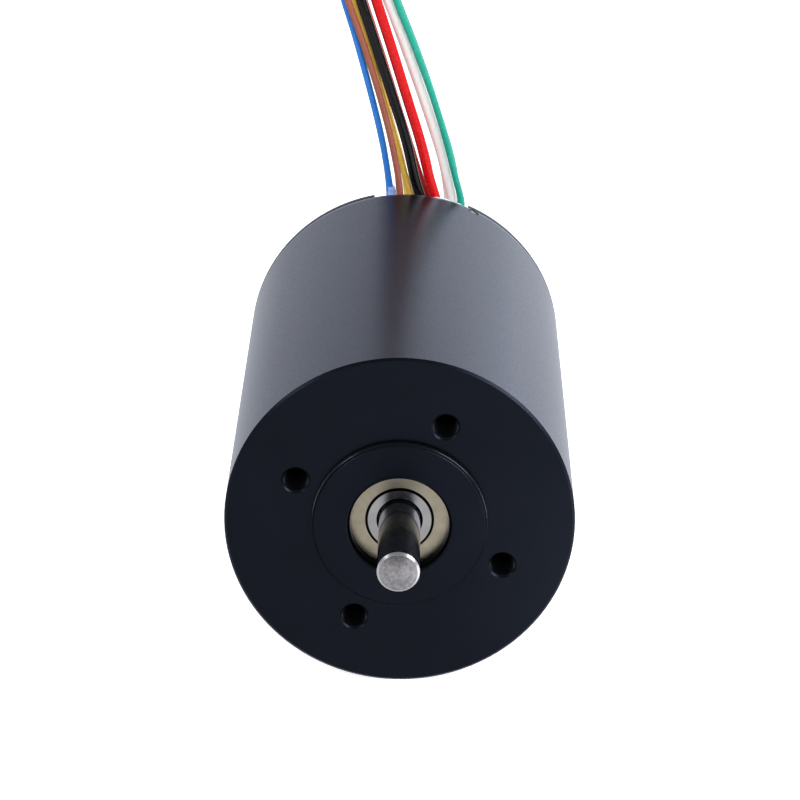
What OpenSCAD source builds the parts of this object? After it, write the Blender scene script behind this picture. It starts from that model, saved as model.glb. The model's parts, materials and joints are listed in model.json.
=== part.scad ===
// Brushless coreless motor: a black 42 mm can on ball bearings, with hall sensors and eight leads.
// Millimetres. The axis lies along Y: the output shaft points to -Y and the lead slot faces +Z.
// The origin is the middle of the front mounting face.

/* [Housing] */
// Outside diameter of the can and the rear cap
body_d = 42; // [41:0.1:46]
// Length of the can from the mounting face to the seam with the rear cap
can_len = 62.4; // [61:0.1:80]
// Wall of the can beside the stator
can_wall = 1.4; // [1:0.1:1.8]
// Depth of the shoulder that the stator stack seats on, from the mounting face
shoulder_depth = 11; // [10.5:0.1:14]
// Step between the bore of the can and the narrower bore in front of the shoulder
shoulder_step = 1.2; // [0.8:0.1:1.6]
// Wall left behind the front bearing
wall_behind_bearing = 0.6; // [0.3:0.1:1.2]
// Bevel on the can's front edge
front_bevel = 0.3; // [0.1:0.05:0.8]
// Bevel on each side of the seam
seam_bevel = 0.15; // [0.05:0.05:0.4]

/* [Front face] */
// Diameter of the pilot boss
pilot_d = 21; // [20:0.1:24]
// Height of the pilot boss
pilot_h = 1; // [0.5:0.1:2]
// Bevel on the pilot boss
pilot_bevel = 0.3; // [0.1:0.05:0.45]
// Thickness of the lip that holds the front bearing, from the boss face back
lip_t = 1.8; // [1.2:0.1:3]
// Diameter of the opening in front of the bearing
opening_d = 11.9; // [11:0.1:13]
// Rounding of the opening's edge
opening_round = 0.6; // [0.2:0.1:0.9]
// Number of tapped mounting holes
hole_count = 4; // [3:1:6]
// Pitch circle of the mounting holes
hole_pcd = 27; // [26:0.5:32]
// Diameter of the mounting holes for M3 screws, with the thread left plain
hole_d = 3; // [2:0.1:3.3]
// Width of the bevel at the mouth of each mounting hole
hole_bevel = 0.22; // [0.1:0.01:0.6]
// Depth of the mounting holes
hole_depth = 4.6; // [3:0.1:5]
// Angle of the first mounting hole above +X
hole_angle = 66; // [55:1:80]

/* [Rear cap] */
// Thickness of the cap's visible flange
flange_t = 1.2; // [0.8:0.1:2]
// Thickness of the cap's end wall
end_wall_t = 2.2; // [2:0.1:3.5]
// Length of the spigot inside the can
spigot_len = 5; // [3:0.1:5.5]
// Wall of the spigot
spigot_wall = 2.4; // [1.5:0.1:3]
// Wall around the rear bearing's seat
seat_wall = 2; // [1.2:0.1:3]
// Left side of the lead slot
slot_left = -4; // [-6:0.05:-3.5]
// Right side of the lead slot
slot_right = 8.65; // [8.4:0.05:10]
// Depth of the lead slot's floor below the top of the cap
slot_depth = 7; // [6.8:0.1:8]
// Number of staking pits that lock the cap
stake_count = 3; // [2:1:4]
// Diameter of a staking pit
stake_d = 1.4; // [1:0.1:2]
// Depth of a staking pit
stake_depth = 0.45; // [0.2:0.05:0.6]
// Distance of the staking pits from the seam
stake_inset = 0.95; // [0.9:0.05:2.5]
// Angle of the first staking pit from the top toward +X
stake_angle = 26.7; // [26:0.1:40]

/* [Shaft] */
// Diameter of the shaft
shaft_d = 5; // [4:0.1:6]
// Free length of the shaft in front of the mounting face
shaft_free = 14.3; // [8:0.1:30]
// Bevel on both ends of the shaft
shaft_bevel = 0.3; // [0.1:0.05:0.6]

/* [Bearings] */
// Outside diameter of a bearing
bearing_od = 16; // [15.6:0.1:17]
// Width of a bearing
bearing_w = 5; // [4.8:0.1:6]
// Diameter of a ball
ball_d = 2.778; // [2.5:0.001:2.9]
// Number of balls in a bearing
ball_count = 7; // [5:1:7]
// Height of the race lands above the bottom of their grooves
race_depth = 0.38; // [0.2:0.01:0.45]
// Play between a ball and its races
race_play = 0.06; // [0.05:0.005:0.08]
// Thickness of a shield
shield_t = 0.25; // [0.15:0.01:0.35]
// Depth of a shield below the face of its bearing
shield_inset = 0.12; // [0.05:0.01:0.3]
// Gap between a shield and the inner ring
shield_gap = 0.21; // [0.1:0.01:0.3]
// Depth of the inner ring's step under the shields
shield_step = 0.3; // [0.2:0.01:0.4]
// Thickness of the ribbon cage
cage_t = 0.26; // [0.15:0.01:0.3]
// Width of the ribbon cage across the ball circle
cage_w = 0.7; // [0.4:0.05:0.9]
// Free height of the wave washer behind the rear bearing
washer_h = 0.6; // [0.4:0.05:1]
// Thickness of the wave washer's sheet
washer_t = 0.25; // [0.15:0.01:0.35]

/* [Stator] */
// Room between the stator stack and the rear bearing, for the sensor board
rear_room = 8.8; // [8:0.1:12]
// Thickness of the insulating liner in the stack
liner_t = 0.3; // [0.1:0.05:0.5]
// Thickness of one layer of the coreless winding
strand_t = 1.5; // [1:0.05:1.6]
// Gap between the two layers of the winding
layer_gap = 0.2; // [0.1:0.05:0.4]
// Length of the winding's heads beyond the stack at each end
head_len = 2.5; // [2.4:0.1:3]
// Strands of one phase under one pole
phase_strands = 3; // [2:1:4]
// Share of its pitch that a strand fills
strand_fill = 0.92; // [0.7:0.01:0.95]
// Height of the ring that carries the sensor board
board_seat_h = 4.2; // [3.8:0.1:4.4]
// Thickness of the sensor board
board_t = 1.2; // [0.8:0.1:1.4]
// Gap between the board's edge and the can
board_gap = 1; // [0.6:0.1:1.5]

/* [Rotor] */
// Air gap between the magnet sleeve and the winding
air_gap = 0.5; // [0.3:0.05:0.8]
// Wall of the sleeve around the magnets
sleeve_t = 0.28; // [0.15:0.01:0.4]
// Wall of the rotor core around the shaft
core_wall = 3.5; // [2.5:0.1:4]
// Radial thickness of the magnets
magnet_t = 4.4; // [3:0.1:5]
// Gap between neighbouring magnets
magnet_gap = 0.4; // [0.2:0.05:1]
// Pole pairs of the rotor
pole_pairs = 2; // [1:1:3]
// Length by which the magnets stop short of the stack at each end
magnet_inset = 1; // [0.5:0.1:2]
// Thickness of the balance ring
balance_t = 2; // [1:0.1:2.2]
// Thickness of the sense magnet
sense_t = 3; // [2:0.1:3.2]
// Radius of the spacers beside the bearings
spacer_r = 3.7; // [3.5:0.05:3.8]

/* [Leads] */
// Diameter of the three phase leads
phase_lead_d = 1.4; // [1.2:0.05:1.45]
// Diameter of the five sensor leads
sensor_lead_d = 0.9; // [0.7:0.05:1]
// Length of the stripped and tinned ends
tip_len = 5; // [3:0.5:8]
// Stripped core as a share of a lead's diameter
core_share = 0.55; // [0.4:0.05:0.7]

/* [Hidden] */
$fn = 64;
fit = 0.01;
slip = 0.03;
clear = 0.05;
seat_gap = 0.1;
eps = 0.01;

// Can
body_r = body_d / 2;
can_bore_r = body_r - can_wall;
shoulder_bore_r = can_bore_r - shoulder_step;
front_bearing_y = lip_t - pilot_h;
front_wall_y = front_bearing_y + bearing_w + wall_behind_bearing;
bearing_r = bearing_od / 2;
seat_r = bearing_r + fit;
hole_mouth_r = hole_d / 2 + hole_bevel;
stake_y = can_len - stake_inset;

// Rear cap, from its outer face forward
cap_end_y = can_len + flange_t;
end_wall_y = cap_end_y - end_wall_t;
rear_bearing_y = end_wall_y - washer_h - bearing_w;
spigot_y = can_len - spigot_len;
spigot_r = can_bore_r - slip;
spigot_inner_r = spigot_r - spigot_wall;

// Bearing, in the frame of its own front face
shaft_r = shaft_d / 2;
shaft_seat_r = shaft_r - fit;
relief_r = shaft_r - 0.2;
relief_y = front_bearing_y - 0.1;
relief_end_y = front_bearing_y + 0.4;
ball_r = ball_d / 2;
pitch_r = (shaft_d + bearing_od) / 4;
groove_r = ball_r + race_play;
inner_land_r = pitch_r - groove_r + race_depth;
outer_land_r = pitch_r + groove_r - race_depth;
inner_step_r = inner_land_r - shield_step;
shield_inner_r = inner_step_r + shield_gap;
shield_outer_r = outer_land_r + 0.55;
shield_seat_r = shield_outer_r + clear;
shield_depth = shield_inset + shield_t;
step_depth = shield_depth + shield_gap;
ring_bevel = 0.2;
cage_web = 0.5;

// Rotor, from the shaft outward
core_r = shaft_r + core_wall;
hub_r = core_r - fit;
magnet_r = core_r + magnet_t;
sleeve_r = magnet_r + fit + sleeve_t;
balance_r = magnet_r - 1.8;
sense_r = magnet_r - 0.8;
poles = 2 * pole_pairs;

// Stator, from the air gap outward
winding_inner_r = sleeve_r + air_gap;
inner_layer_r = winding_inner_r + strand_t / 2;
layer_step = strand_t + layer_gap;
outer_layer_r = inner_layer_r + layer_step;
liner_inner_r = outer_layer_r + strand_t / 2 + seat_gap;
stack_inner_r = liner_inner_r + liner_t;
stack_r = can_bore_r - fit;
notch_r = 0.8;
notch_count = 6;

// Stator and rotor along the axis
stack_y = shoulder_depth;
stack_end_y = rear_bearing_y - rear_room;
rotor_y = stack_y + magnet_inset;
rotor_end_y = stack_end_y - magnet_inset;
balance_y = rotor_y - balance_t;
sense_y = rotor_end_y;
sense_end_y = sense_y + sense_t;
shaft_end_y = end_wall_y - 0.4;

// Heads of the winding
head_r = (outer_layer_r + inner_layer_r) / 2;
head_rise = (layer_step + strand_t) / 2;
winding_y = stack_y - head_len;
winding_end_y = stack_end_y + head_len;
leg_y = winding_y + head_rise;
leg_end_y = winding_end_y - head_rise;

// Sensor board and its carrier
board_y = stack_end_y + board_seat_h;
board_top_y = board_y + board_t;
board_r = can_bore_r - board_gap;
board_hole_r = spacer_r + 1.8;
carrier_inner_r = liner_inner_r + seat_gap;
carrier_r = can_bore_r - slip;
screw_r = 0.75;
screw_circle_r = (carrier_inner_r + board_r) / 2;
screw_len = 3.2;
screw_head_r = 1.3;
screw_head_h = 0.9;
screw_angles = [20, 140, 260];
sensor_size = [1.1, 2.9, 1.3];
resistor_size = [1.6, 0.5, 0.8];
capacitor_size = [0.8, 0.45, 1.6];
driver_size = [3, 1.1, 3.9];
parts_gap = 2.5;
tap_r = 0.35;
tap_stub = 0.5;
solder_h = 0.8;

// Lead slot and its sealant
slot_floor_z = body_r - slot_depth;
seal_y = spigot_y + 0.2;
seal_bores_end_y = can_len - 1.6;
seal_crest = 2.8;
seal_crest_z = body_r - seal_crest;
seal_sink = 0.5;

// Lead route, outside the board. Each row is a place on the outermost line of the bundle: y
// behind the seam, z above the top of the can, the way to the inside of its bend as y and z,
// and how many straight pieces lead on to the next row.
AIR_ROUTE = [
    [-5.4, -5, 0, -1, 1], [-1.6, -5, 0, -1, 1], [-0.9, -5, 0, -1, 2], [1.2, -4.1, 0.7, -0.7, 2],
    [2.1, -2, 1, 0, 1], [2.2, 1.6, 1, 0, 1], [2.4, 7, 1, 0, 1], [2.6, 13, 1, 0, 1],
    [2.8, 20, 1, 0, 1], [3.2, 27, 1, 0, 1], [5.1, 33.5, 0.9, -0.4, 2], [9.2, 38.4, 0.5, -0.85, 2],
    [15.1, 40.2, 0, -1, 2], [21.4, 38.2, -0.5, -0.85, 2], [25.6, 33, -0.9, -0.4, 1],
    [27.6, 26, -1, 0, 1], [28, 19, -1, 0, 1], [28, 11, -1, 0, 1], [27.8, 3, -1, 0, 1],
    [27.6, -5, -1, 0, 1], [27.6, -13, -1, 0, 1]
];
// The last of the drop, with z above the floor.
DROP_ROUTE = [[27.8, 19, -0.6, 0, 1], [28.5, 10, -0.2, 0, 2], [31, 3.6, 0, 0, 2]];
// Places on the floor, as y behind the seam.
FLOOR_ROUTE = [36.1, 43.6, 51.6, 59.6, 67.6];
floor_z = -body_r;
floor_lift = 0.02;

// Each lead: its colour, how far it runs inside the bundle's outermost line, the x of its start
// on the board and of each row above, and the place on the floor where it ends.
LEADS = [
    ["blue", 1.1, [-1.9, -1.9, -1.9, -1.9, -1.9, -1.75, -2.2, -3.1, -4.5, -6.3, -8.4, -10.2,
        -11.5, -12.3, -12.5, -12.2, -10.6, -8.4, -6.2, -4.2, -2.7, -2.3, -2.7, -3.3, -3.8,
        -4.5, -6, -8.2, -11, -14.2], [-17, 74]],
    ["brown", 0, [-0.7, -0.7, -0.7, -0.7, -0.7, -0.5, -0.8, -1.8, -3.3, -5.4, -7.8, -9.8,
        -11.2, -12, -12.2, -11.8, -10.4, -7.9, -5.3, -3, -1.3, -1, -1.4, -1.9, -2.3,
        -2.9, -4, -5.6, -7.4, -9.2], [-10.6, 72.2]],
    ["yellow", 1.1, [0.6, 0.6, 0.6, 0.6, 0.6, 0.95, 0.1, -1.35, -3.05, -4.9, -7.1, -8.9,
        -10.2, -11, -11.2, -10.8, -9.3, -7, -4.6, -2.3, -0.3, 0.4, 0.1, -0.3, -0.6,
        -1, -1.8, -2.8, -3.6, -4], [-4, 75.6]],
    ["black", 0, [1.9, 1.9, 1.9, 1.9, 1.9, 2.35, 1.4, 0.2, -1.6, -3.8, -6, -7.8,
        -9, -9.8, -10, -9.6, -8.1, -6.1, -3.6, -1.1, 0.9, 1.8, 1.8, 1.6, 1.4,
        1.2, 0.9, 0.6, 0.7, 1.2], [2, 73.6]],
    ["maroon", 1.3, [2.7, 2.7, 2.7, 2.7, 2.7, 3.25, 2.1, 0.4, -1.6, -3.8, -5.8, -7.3,
        -8.5, -9.2, -9.4, -9, -7.6, -5.5, -3, -0.6, 1.7, 2.6, 3, 3.1, 3.2,
        3.2, 3.3, 3.6, 4.4, 5.8], [7.6, 76]],
    ["red", 0, [3.9, 3.9, 3.9, 3.9, 3.9, 4.35, 3.4, 2.1, 0.3, -1.8, -4, -5.8,
        -7, -7.7, -7.9, -7.5, -6.1, -3.9, -1.5, 0.9, 3.1, 3.9, 4.4, 4.7, 4.9,
        5.1, 5.6, 6.4, 7.8, 9.6], [11.4, 73.2]],
    ["white", 1, [6.2, 6.2, 6.2, 6.2, 6.2, 6.5, 5.75, 4.4, 2.5, 0.1, -2.6, -4.4,
        -5.6, -6.3, -6.5, -6.1, -4.7, -2.2, 0.6, 3.3, 5.6, 6.4, 6.5, 6.8, 7.1,
        7.4, 8.2, 9.4, 11, 12.8], [14.4, 72]],
    ["green", 0, [7.3, 7.3, 7.3, 7.3, 7.3, 7.8, 6.95, 5.6, 3.8, 1.3, -1.4, -3.3,
        -4.5, -5.1, -5.3, -4.9, -3.5, -0.9, 2.1, 4.7, 6.9, 7.6, 8, 8.5, 8.9,
        9.3, 10.4, 12, 14, 16], [17.8, 72.6]]
];
PHASE_COLOURS = ["black", "red", "white"];

// Shapes that repeat

// Turns a profile of radius and length around the motor's axis.
module turned() {
    rotate([-90, 0, 0]) rotate_extrude() children();
}

// A plain ring about the axis.
module ring(r_in, r_out, y0, y1) {
    turned() translate([r_in, y0]) square([r_out - r_in, y1 - y0]);
}

// A rod along Y.
module rod(r, y0, y1) {
    translate([0, y0, 0]) rotate([-90, 0, 0]) cylinder(r = r, h = y1 - y0);
}

// A cone along Y.
module taper(r0, r1, y0, y1) {
    translate([0, y0, 0]) rotate([-90, 0, 0]) cylinder(r1 = r0, r2 = r1, h = y1 - y0);
}

// Moves what lies on +X to an angle above +X and a radius.
module at(angle, r) {
    rotate([0, -angle, 0]) translate([r, 0, 0]) children();
}

// Copies around the axis.
module around(count, r, first = 0) {
    for (i = [0 : count - 1]) at(first + i * 360 / count, r) children();
}

// Housing, turned with its front wall and pilot boss in one piece
module housing_profile() {
    front_y = -pilot_h;
    pilot_r = pilot_d / 2;
    difference() {
        polygon([
            [opening_d / 2, front_y], [pilot_r - pilot_bevel, front_y],
            [pilot_r, front_y + pilot_bevel], [pilot_r, 0], [body_r - front_bevel, 0],
            [body_r, front_bevel], [body_r, can_len - seam_bevel],
            [body_r - seam_bevel, can_len], [can_bore_r, can_len],
            [can_bore_r, shoulder_depth], [shoulder_bore_r, shoulder_depth],
            [shoulder_bore_r, front_wall_y], [seat_r, front_wall_y],
            [seat_r, front_bearing_y], [opening_d / 2, front_bearing_y]
        ]);
        opening_rounding(front_y);
    }
}

// What the rounded edge of the front opening takes away.
module opening_rounding(front_y) {
    difference() {
        translate([opening_d / 2 - eps, front_y - eps])
            square([opening_round + eps, opening_round + eps]);
        translate([opening_d / 2 + opening_round, front_y + opening_round])
            circle(r = opening_round);
    }
}

module mounting_hole() {
    rod(hole_d / 2, -eps, hole_depth);
    taper(hole_mouth_r + eps, hole_d / 2, -eps, hole_bevel);
    taper(hole_d / 2, 0.1, hole_depth, hole_depth + hole_d * 0.25);
}

module stake_pits() {
    around(stake_count, body_r - stake_depth + stake_d / 2, 90 - stake_angle)
        translate([0, stake_y, 0]) sphere(d = stake_d);
}

module housing() {
    color("#1c1c20") difference() {
        turned() housing_profile();
        around(hole_count, hole_pcd / 2, hole_angle) mounting_hole();
        stake_pits();
    }
}

// Rear cap: flange, end wall, spigot and the rear bearing's seat in one piece
module rear_cap_profile() {
    seat_outer_r = seat_r + seat_wall;
    polygon([
        [0, end_wall_y], [seat_r, end_wall_y], [seat_r, rear_bearing_y],
        [seat_outer_r, rear_bearing_y], [seat_outer_r, end_wall_y],
        [spigot_inner_r, end_wall_y], [spigot_inner_r, spigot_y],
        [spigot_r, spigot_y], [spigot_r, can_len], [body_r - seam_bevel, can_len],
        [body_r, can_len + seam_bevel], [body_r, cap_end_y - 2 * seam_bevel],
        [body_r - 2 * seam_bevel, cap_end_y], [0, cap_end_y]
    ]);
}

// The outline of the lead slot, drawn inward by a gap and cut off at a floor.
module slot_outline(gap, floor) {
    translate([slot_left + gap, 0, floor])
        cube([slot_right - slot_left - 2 * gap, cap_end_y + 1, body_r]);
}

module rear_cap() {
    color("#1c1c20") difference() {
        turned() rear_cap_profile();
        slot_outline(0, slot_floor_z);
    }
}

// Stator
module stator_stack() {
    color("#8f9299") difference() {
        ring(stack_inner_r, stack_r, stack_y, stack_end_y);
        around(notch_count, stack_r + notch_r * 0.3)
            rod(notch_r, stack_y - 1, stack_end_y + 1);
    }
}

module stack_liner() {
    color("#d8c98a") ring(liner_inner_r, stack_inner_r, stack_y, stack_end_y);
}

module front_insulator() {
    color("#2f5d46")
        ring(carrier_inner_r, shoulder_bore_r - slip, winding_y + 0.5, stack_y);
}

// Coreless winding. A strand runs aslant from head to head in the outer layer, turns in through
// the head and runs back in the inner layer, on and on until it closes after one turn.
leg_span = 180 / poles;
loop_pitch = 2 * leg_span / (3 * phase_strands);
strand_half_angle = loop_pitch * strand_fill / 2;
leg_pieces = 5;
turn_steps = [45, 90, 135];

function polar(r, a, y) = [r * cos(a), y, r * sin(a)];

// The four corners of a strand's section, turned by `lean` from outward to inward.
function strand_section(r, a, y, lean) = [
    for (c = [[1, 1], [-1, 1], [-1, -1], [1, -1]])
        polar(r + c[0] * cos(lean) * strand_t / 2, a + c[1] * strand_half_angle,
              y + c[0] * sin(lean) * strand_t / 2)
];

function leg_sections(a0, r, y0, y1, lean) = [
    for (i = [0 : leg_pieces])
        strand_section(r, a0 + leg_span * i / leg_pieces, y0 + (y1 - y0) * i / leg_pieces, lean)
];

function turn_sections(a, y, first_lean) = [
    for (s = turn_steps)
        let (lean = first_lean + s)
            strand_section(head_r + layer_step / 2 * cos(lean), a,
                           y + layer_step / 2 * sin(lean), lean)
];

function loop_sections(a0) = [
    for (j = [0 : poles - 1])
        let (a = a0 + 2 * leg_span * j)
            each concat(
                leg_sections(a, outer_layer_r, leg_y, leg_end_y, 0),
                turn_sections(a + leg_span, leg_end_y, 0),
                leg_sections(a + leg_span, inner_layer_r, leg_end_y, leg_y, 180),
                turn_sections(a + 2 * leg_span, leg_y, 180)
            )
];

// Two triangles for each side between a ring of points and the next.
function side_faces(rings, sides, closed) = [
    for (i = [0 : rings - (closed ? 1 : 2)], k = [0 : sides - 1])
        let (
            here = i * sides,
            next = ((i + 1) % rings) * sides,
            l = (k + 1) % sides
        )
            each [[here + k, here + l, next + l], [here + k, next + l, next + k]]
];

module strand_loop(a0) {
    sections = loop_sections(a0);
    polyhedron(
        points = [for (s = sections) each s],
        faces = side_faces(len(sections), 4, true)
    );
}

module winding_phase(phase) {
    for (i = [0 : phase_strands - 1])
        strand_loop((phase * phase_strands + i) * loop_pitch);
}

module winding_phase_u() { color("#b8642c") winding_phase(0); }
module winding_phase_v() { color("#c8743a") winding_phase(1); }
module winding_phase_w() { color("#a85624") winding_phase(2); }

// Where each phase is tapped: the middle strand's rear head, a third of a turn apart.
function tap_angle(phase) =
    (phase * phase_strands + floor(phase_strands / 2)) * loop_pitch + leg_span
    + 2 * leg_span * floor(phase * poles / 3 + 0.5);

module phase_taps() {
    color("#c47a3c") for (phase = [0 : 2])
        at(tap_angle(phase), head_r) rod(tap_r, winding_end_y, board_top_y + tap_stub);
}

// Sensor board
module board_carrier() {
    color("#2b2b2b") difference() {
        ring(carrier_inner_r, carrier_r, stack_end_y, board_y);
        for (a = screw_angles) at(a, screw_circle_r)
            rod(screw_r + fit, board_y - screw_len, board_y + 1);
    }
}

module hall_board() {
    color("#1f5a3a") difference() {
        ring(board_hole_r, board_r, board_y, board_top_y);
        for (a = screw_angles) at(a, screw_circle_r)
            rod(screw_r + clear, board_y - 1, board_top_y + 1);
        for (phase = [0 : 2]) at(tap_angle(phase), head_r)
            rod(tap_r + clear, board_y - 1, board_top_y + 1);
    }
}

module hall_sensors() {
    sensor_mid_r = sense_r - sensor_size[2] / 2;
    color("#202020") for (i = [0 : 2])
        at(210 + i * 120 / pole_pairs, sensor_mid_r)
            translate([-sensor_size[2] / 2, board_y - sensor_size[0], -sensor_size[1] / 2])
                cube([sensor_size[2], sensor_size[0], sensor_size[1]]);
}

module chip(size, angle, r) {
    at(angle, r) translate([-size[0] / 2, board_top_y, -size[2] / 2]) cube(size);
}

module board_parts() {
    color("#9b7b56") {
        for (a = [200, 225, 310, 335]) chip(resistor_size, a, head_r);
        for (a = [180, 240, 290, 0]) chip(capacitor_size, a, board_hole_r + parts_gap);
        chip(driver_size, 268, head_r - 1);
    }
}

module board_screw() {
    difference() {
        union() {
            rod(screw_r, board_y - screw_len + 0.2, board_top_y + eps);
            rod(screw_head_r, board_top_y, board_top_y + screw_head_h);
        }
        translate([-screw_head_r, board_top_y + screw_head_h - 0.4, -0.15])
            cube([2 * screw_head_r, 1, 0.3]);
    }
}

module board_screws() {
    color("#b9bcc2") for (a = screw_angles) at(a, screw_circle_r) board_screw();
}

module solder_joints() {
    color("#c9ccd0") {
        for (lead = LEADS) translate(lead_start(lead))
            taper(0.58, 0.3, -solder_h, 0);
        for (phase = [0 : 2]) at(tap_angle(phase), head_r) difference() {
            taper(0.85, tap_r + 0.1, board_top_y, board_top_y + tap_stub);
            rod(tap_r + fit, board_top_y - 1, board_top_y + 1);
        }
    }
}

// Sealant that fills the slot round the leads. Behind the leads' straight stretch it stays
// above the bends.
module slot_seal() {
    color("#dfe6ee") difference() {
        intersection() {
            slot_outline(slip, slot_floor_z + slip);
            union() {
                rod(spigot_r - slip, seal_y, can_len + eps);
                rod(body_r - seal_sink, can_len, cap_end_y - seal_sink);
            }
        }
        for (lead = LEADS) {
            start = lead_start(lead);
            translate([start[0], 0, start[2]])
                rod(lead_d(lead) / 2 + clear, spigot_y, cap_end_y);
        }
        translate([slot_left, seal_bores_end_y, 0])
            cube([slot_right - slot_left, cap_end_y, seal_crest_z]);
    }
}

// Ball bearing, in the frame of its front face
module bearing_outer_ring() {
    turned() difference() {
        polygon([
            [outer_land_r, shield_depth], [shield_seat_r, shield_depth], [shield_seat_r, 0],
            [bearing_r - ring_bevel, 0], [bearing_r, ring_bevel],
            [bearing_r, bearing_w - ring_bevel], [bearing_r - ring_bevel, bearing_w],
            [shield_seat_r, bearing_w], [shield_seat_r, bearing_w - shield_depth],
            [outer_land_r, bearing_w - shield_depth]
        ]);
        translate([pitch_r, bearing_w / 2]) circle(r = groove_r);
    }
}

module bearing_inner_ring() {
    turned() difference() {
        polygon([
            [shaft_r, ring_bevel], [shaft_r + ring_bevel, 0], [inner_step_r, 0],
            [inner_step_r, step_depth], [inner_land_r, step_depth],
            [inner_land_r, bearing_w - step_depth], [inner_step_r, bearing_w - step_depth],
            [inner_step_r, bearing_w], [shaft_r + ring_bevel, bearing_w],
            [shaft_r, bearing_w - ring_bevel]
        ]);
        translate([pitch_r, bearing_w / 2]) circle(r = groove_r);
    }
}

module bearing_balls() {
    around(ball_count, pitch_r, 90) translate([0, bearing_w / 2, 0]) sphere(r = ball_r);
}

// Ribbon cage: a flat web between the balls that bulges round each ball, with rivets between.
module bearing_cage() {
    pocket_r = ball_r + clear;
    mid_y = bearing_w / 2;
    difference() {
        union() {
            intersection() {
                ring(pitch_r - cage_w / 2, pitch_r + cage_w / 2, 0, bearing_w);
                union() {
                    rod(bearing_r, mid_y - cage_web / 2, mid_y + cage_web / 2);
                    ball_pockets(pocket_r + cage_t);
                }
            }
            around(ball_count, pitch_r, 90 + 180 / ball_count)
                rod(cage_web / 2, mid_y - 0.45, mid_y + 0.45);
        }
        ball_pockets(pocket_r);
    }
}

// A short round bar through each ball, pointing at the axis.
module ball_pockets(r) {
    around(ball_count, pitch_r, 90)
        translate([-cage_w, bearing_w / 2, 0]) rotate([0, 90, 0]) cylinder(r = r, h = 2 * cage_w);
}

module bearing_shield(y0) {
    ring(shield_inner_r, shield_outer_r, y0, y0 + shield_t);
}

module outer_shield() { bearing_shield(shield_inset); }
module inner_shield() { bearing_shield(bearing_w - shield_depth); }
module front_place() { translate([0, front_bearing_y, 0]) children(); }
module rear_place() { translate([0, rear_bearing_y, 0]) children(); }

module front_outer_ring() { color("#c9ccd0") front_place() bearing_outer_ring(); }
module front_inner_ring() { color("#d6d8db") front_place() bearing_inner_ring(); }
module front_balls() { color("#e6e8ea") front_place() bearing_balls(); }
module front_cage() { color("#b7a878") front_place() bearing_cage(); }
module front_outer_shield() { color("#cbb98c") front_place() outer_shield(); }
module front_inner_shield() { color("#cbb98c") front_place() inner_shield(); }
module rear_outer_ring() { color("#c9ccd0") rear_place() bearing_outer_ring(); }
module rear_inner_ring() { color("#d6d8db") rear_place() bearing_inner_ring(); }
module rear_balls() { color("#e6e8ea") rear_place() bearing_balls(); }
module rear_cage() { color("#b7a878") rear_place() bearing_cage(); }
module rear_outer_shield() { color("#cbb98c") rear_place() inner_shield(); }
module rear_inner_shield() { color("#cbb98c") rear_place() outer_shield(); }

// Wave washer that presses the rear bearing forward
module wave_washer() {
    waves = 3;
    pieces = 36;
    inner_r = outer_land_r - 0.3;
    outer_r = bearing_r - 0.2;
    mid_y = end_wall_y - washer_h / 2;
    swing = (washer_h - washer_t) / 2;
    points = [
        for (i = [0 : pieces - 1])
            let (a = i * 360 / pieces, y = mid_y + swing * cos(waves * a))
                each [
                    polar(inner_r, a, y - washer_t / 2), polar(outer_r, a, y - washer_t / 2),
                    polar(outer_r, a, y + washer_t / 2), polar(inner_r, a, y + washer_t / 2)
                ]
    ];
    color("#9aa0a8") polyhedron(points = points, faces = side_faces(pieces, 4, true));
}

// Rotor

// The free end has the full diameter. Inside the motor the shaft is ground down by the fit, and
// a narrow relief at the front bearing's face parts the two.
module shaft() {
    color("#d9dadc") turned() polygon([
        [0, -shaft_free], [shaft_r - shaft_bevel, -shaft_free],
        [shaft_r, shaft_bevel - shaft_free], [shaft_r, relief_y], [relief_r, relief_y],
        [relief_r, relief_end_y], [shaft_seat_r, relief_end_y],
        [shaft_seat_r, shaft_end_y - shaft_bevel], [shaft_seat_r - shaft_bevel, shaft_end_y],
        [0, shaft_end_y]
    ]);
}

module rotor_core() {
    color("#7f848c") ring(shaft_r, hub_r, rotor_y, rotor_end_y);
}

module magnets() {
    color("#5c6068") for (i = [0 : poles - 1]) rotate([0, -i * 360 / poles, 0]) difference() {
        intersection() {
            ring(core_r, magnet_r, rotor_y, rotor_end_y);
            magnet_wedge();
        }
        pole_gap(0);
        pole_gap(360 / poles);
    }
}

// A wedge as wide as one pole.
module magnet_wedge() {
    reach = 2 * magnet_r;
    span = 360 / poles;
    rotate([-90, 0, 0]) linear_extrude(height = rotor_end_y + 1)
        polygon([
            [0, 0], for (k = [0 : 4]) [reach * cos(k * span / 4), -reach * sin(k * span / 4)]
        ]);
}

module pole_gap(angle) {
    at(angle, 0) translate([0, rotor_y - 1, -magnet_gap / 2])
        cube([2 * magnet_r, rotor_end_y - rotor_y + 2, magnet_gap]);
}

module magnet_sleeve() {
    color("#c4c7cc") ring(sleeve_r - sleeve_t, sleeve_r, rotor_y, rotor_end_y);
}

module balance_ring() {
    dimple_d = 1.6;
    color("#b59a4c") difference() {
        ring(shaft_r, balance_r, balance_y, rotor_y);
        for (a = [35, 60, 85]) at(a, balance_r - 1.5) rod(dimple_d / 2, 0, balance_y + 0.8);
    }
}

module sense_magnet() {
    color("#4a4d54") ring(core_r, sense_r, sense_y, sense_end_y);
}

module front_spacer() {
    color("#c3c6ca") ring(shaft_r, spacer_r, front_bearing_y + bearing_w, balance_y);
}

// Stepped sleeve that carries the sense magnet and reaches the rear bearing.
module rear_spacer() {
    color("#c3c6ca") turned() polygon([
        [shaft_r, sense_y], [hub_r, sense_y], [hub_r, sense_end_y],
        [spacer_r, sense_end_y], [spacer_r, rear_bearing_y], [shaft_r, rear_bearing_y]
    ]);
}

// Leads

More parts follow.
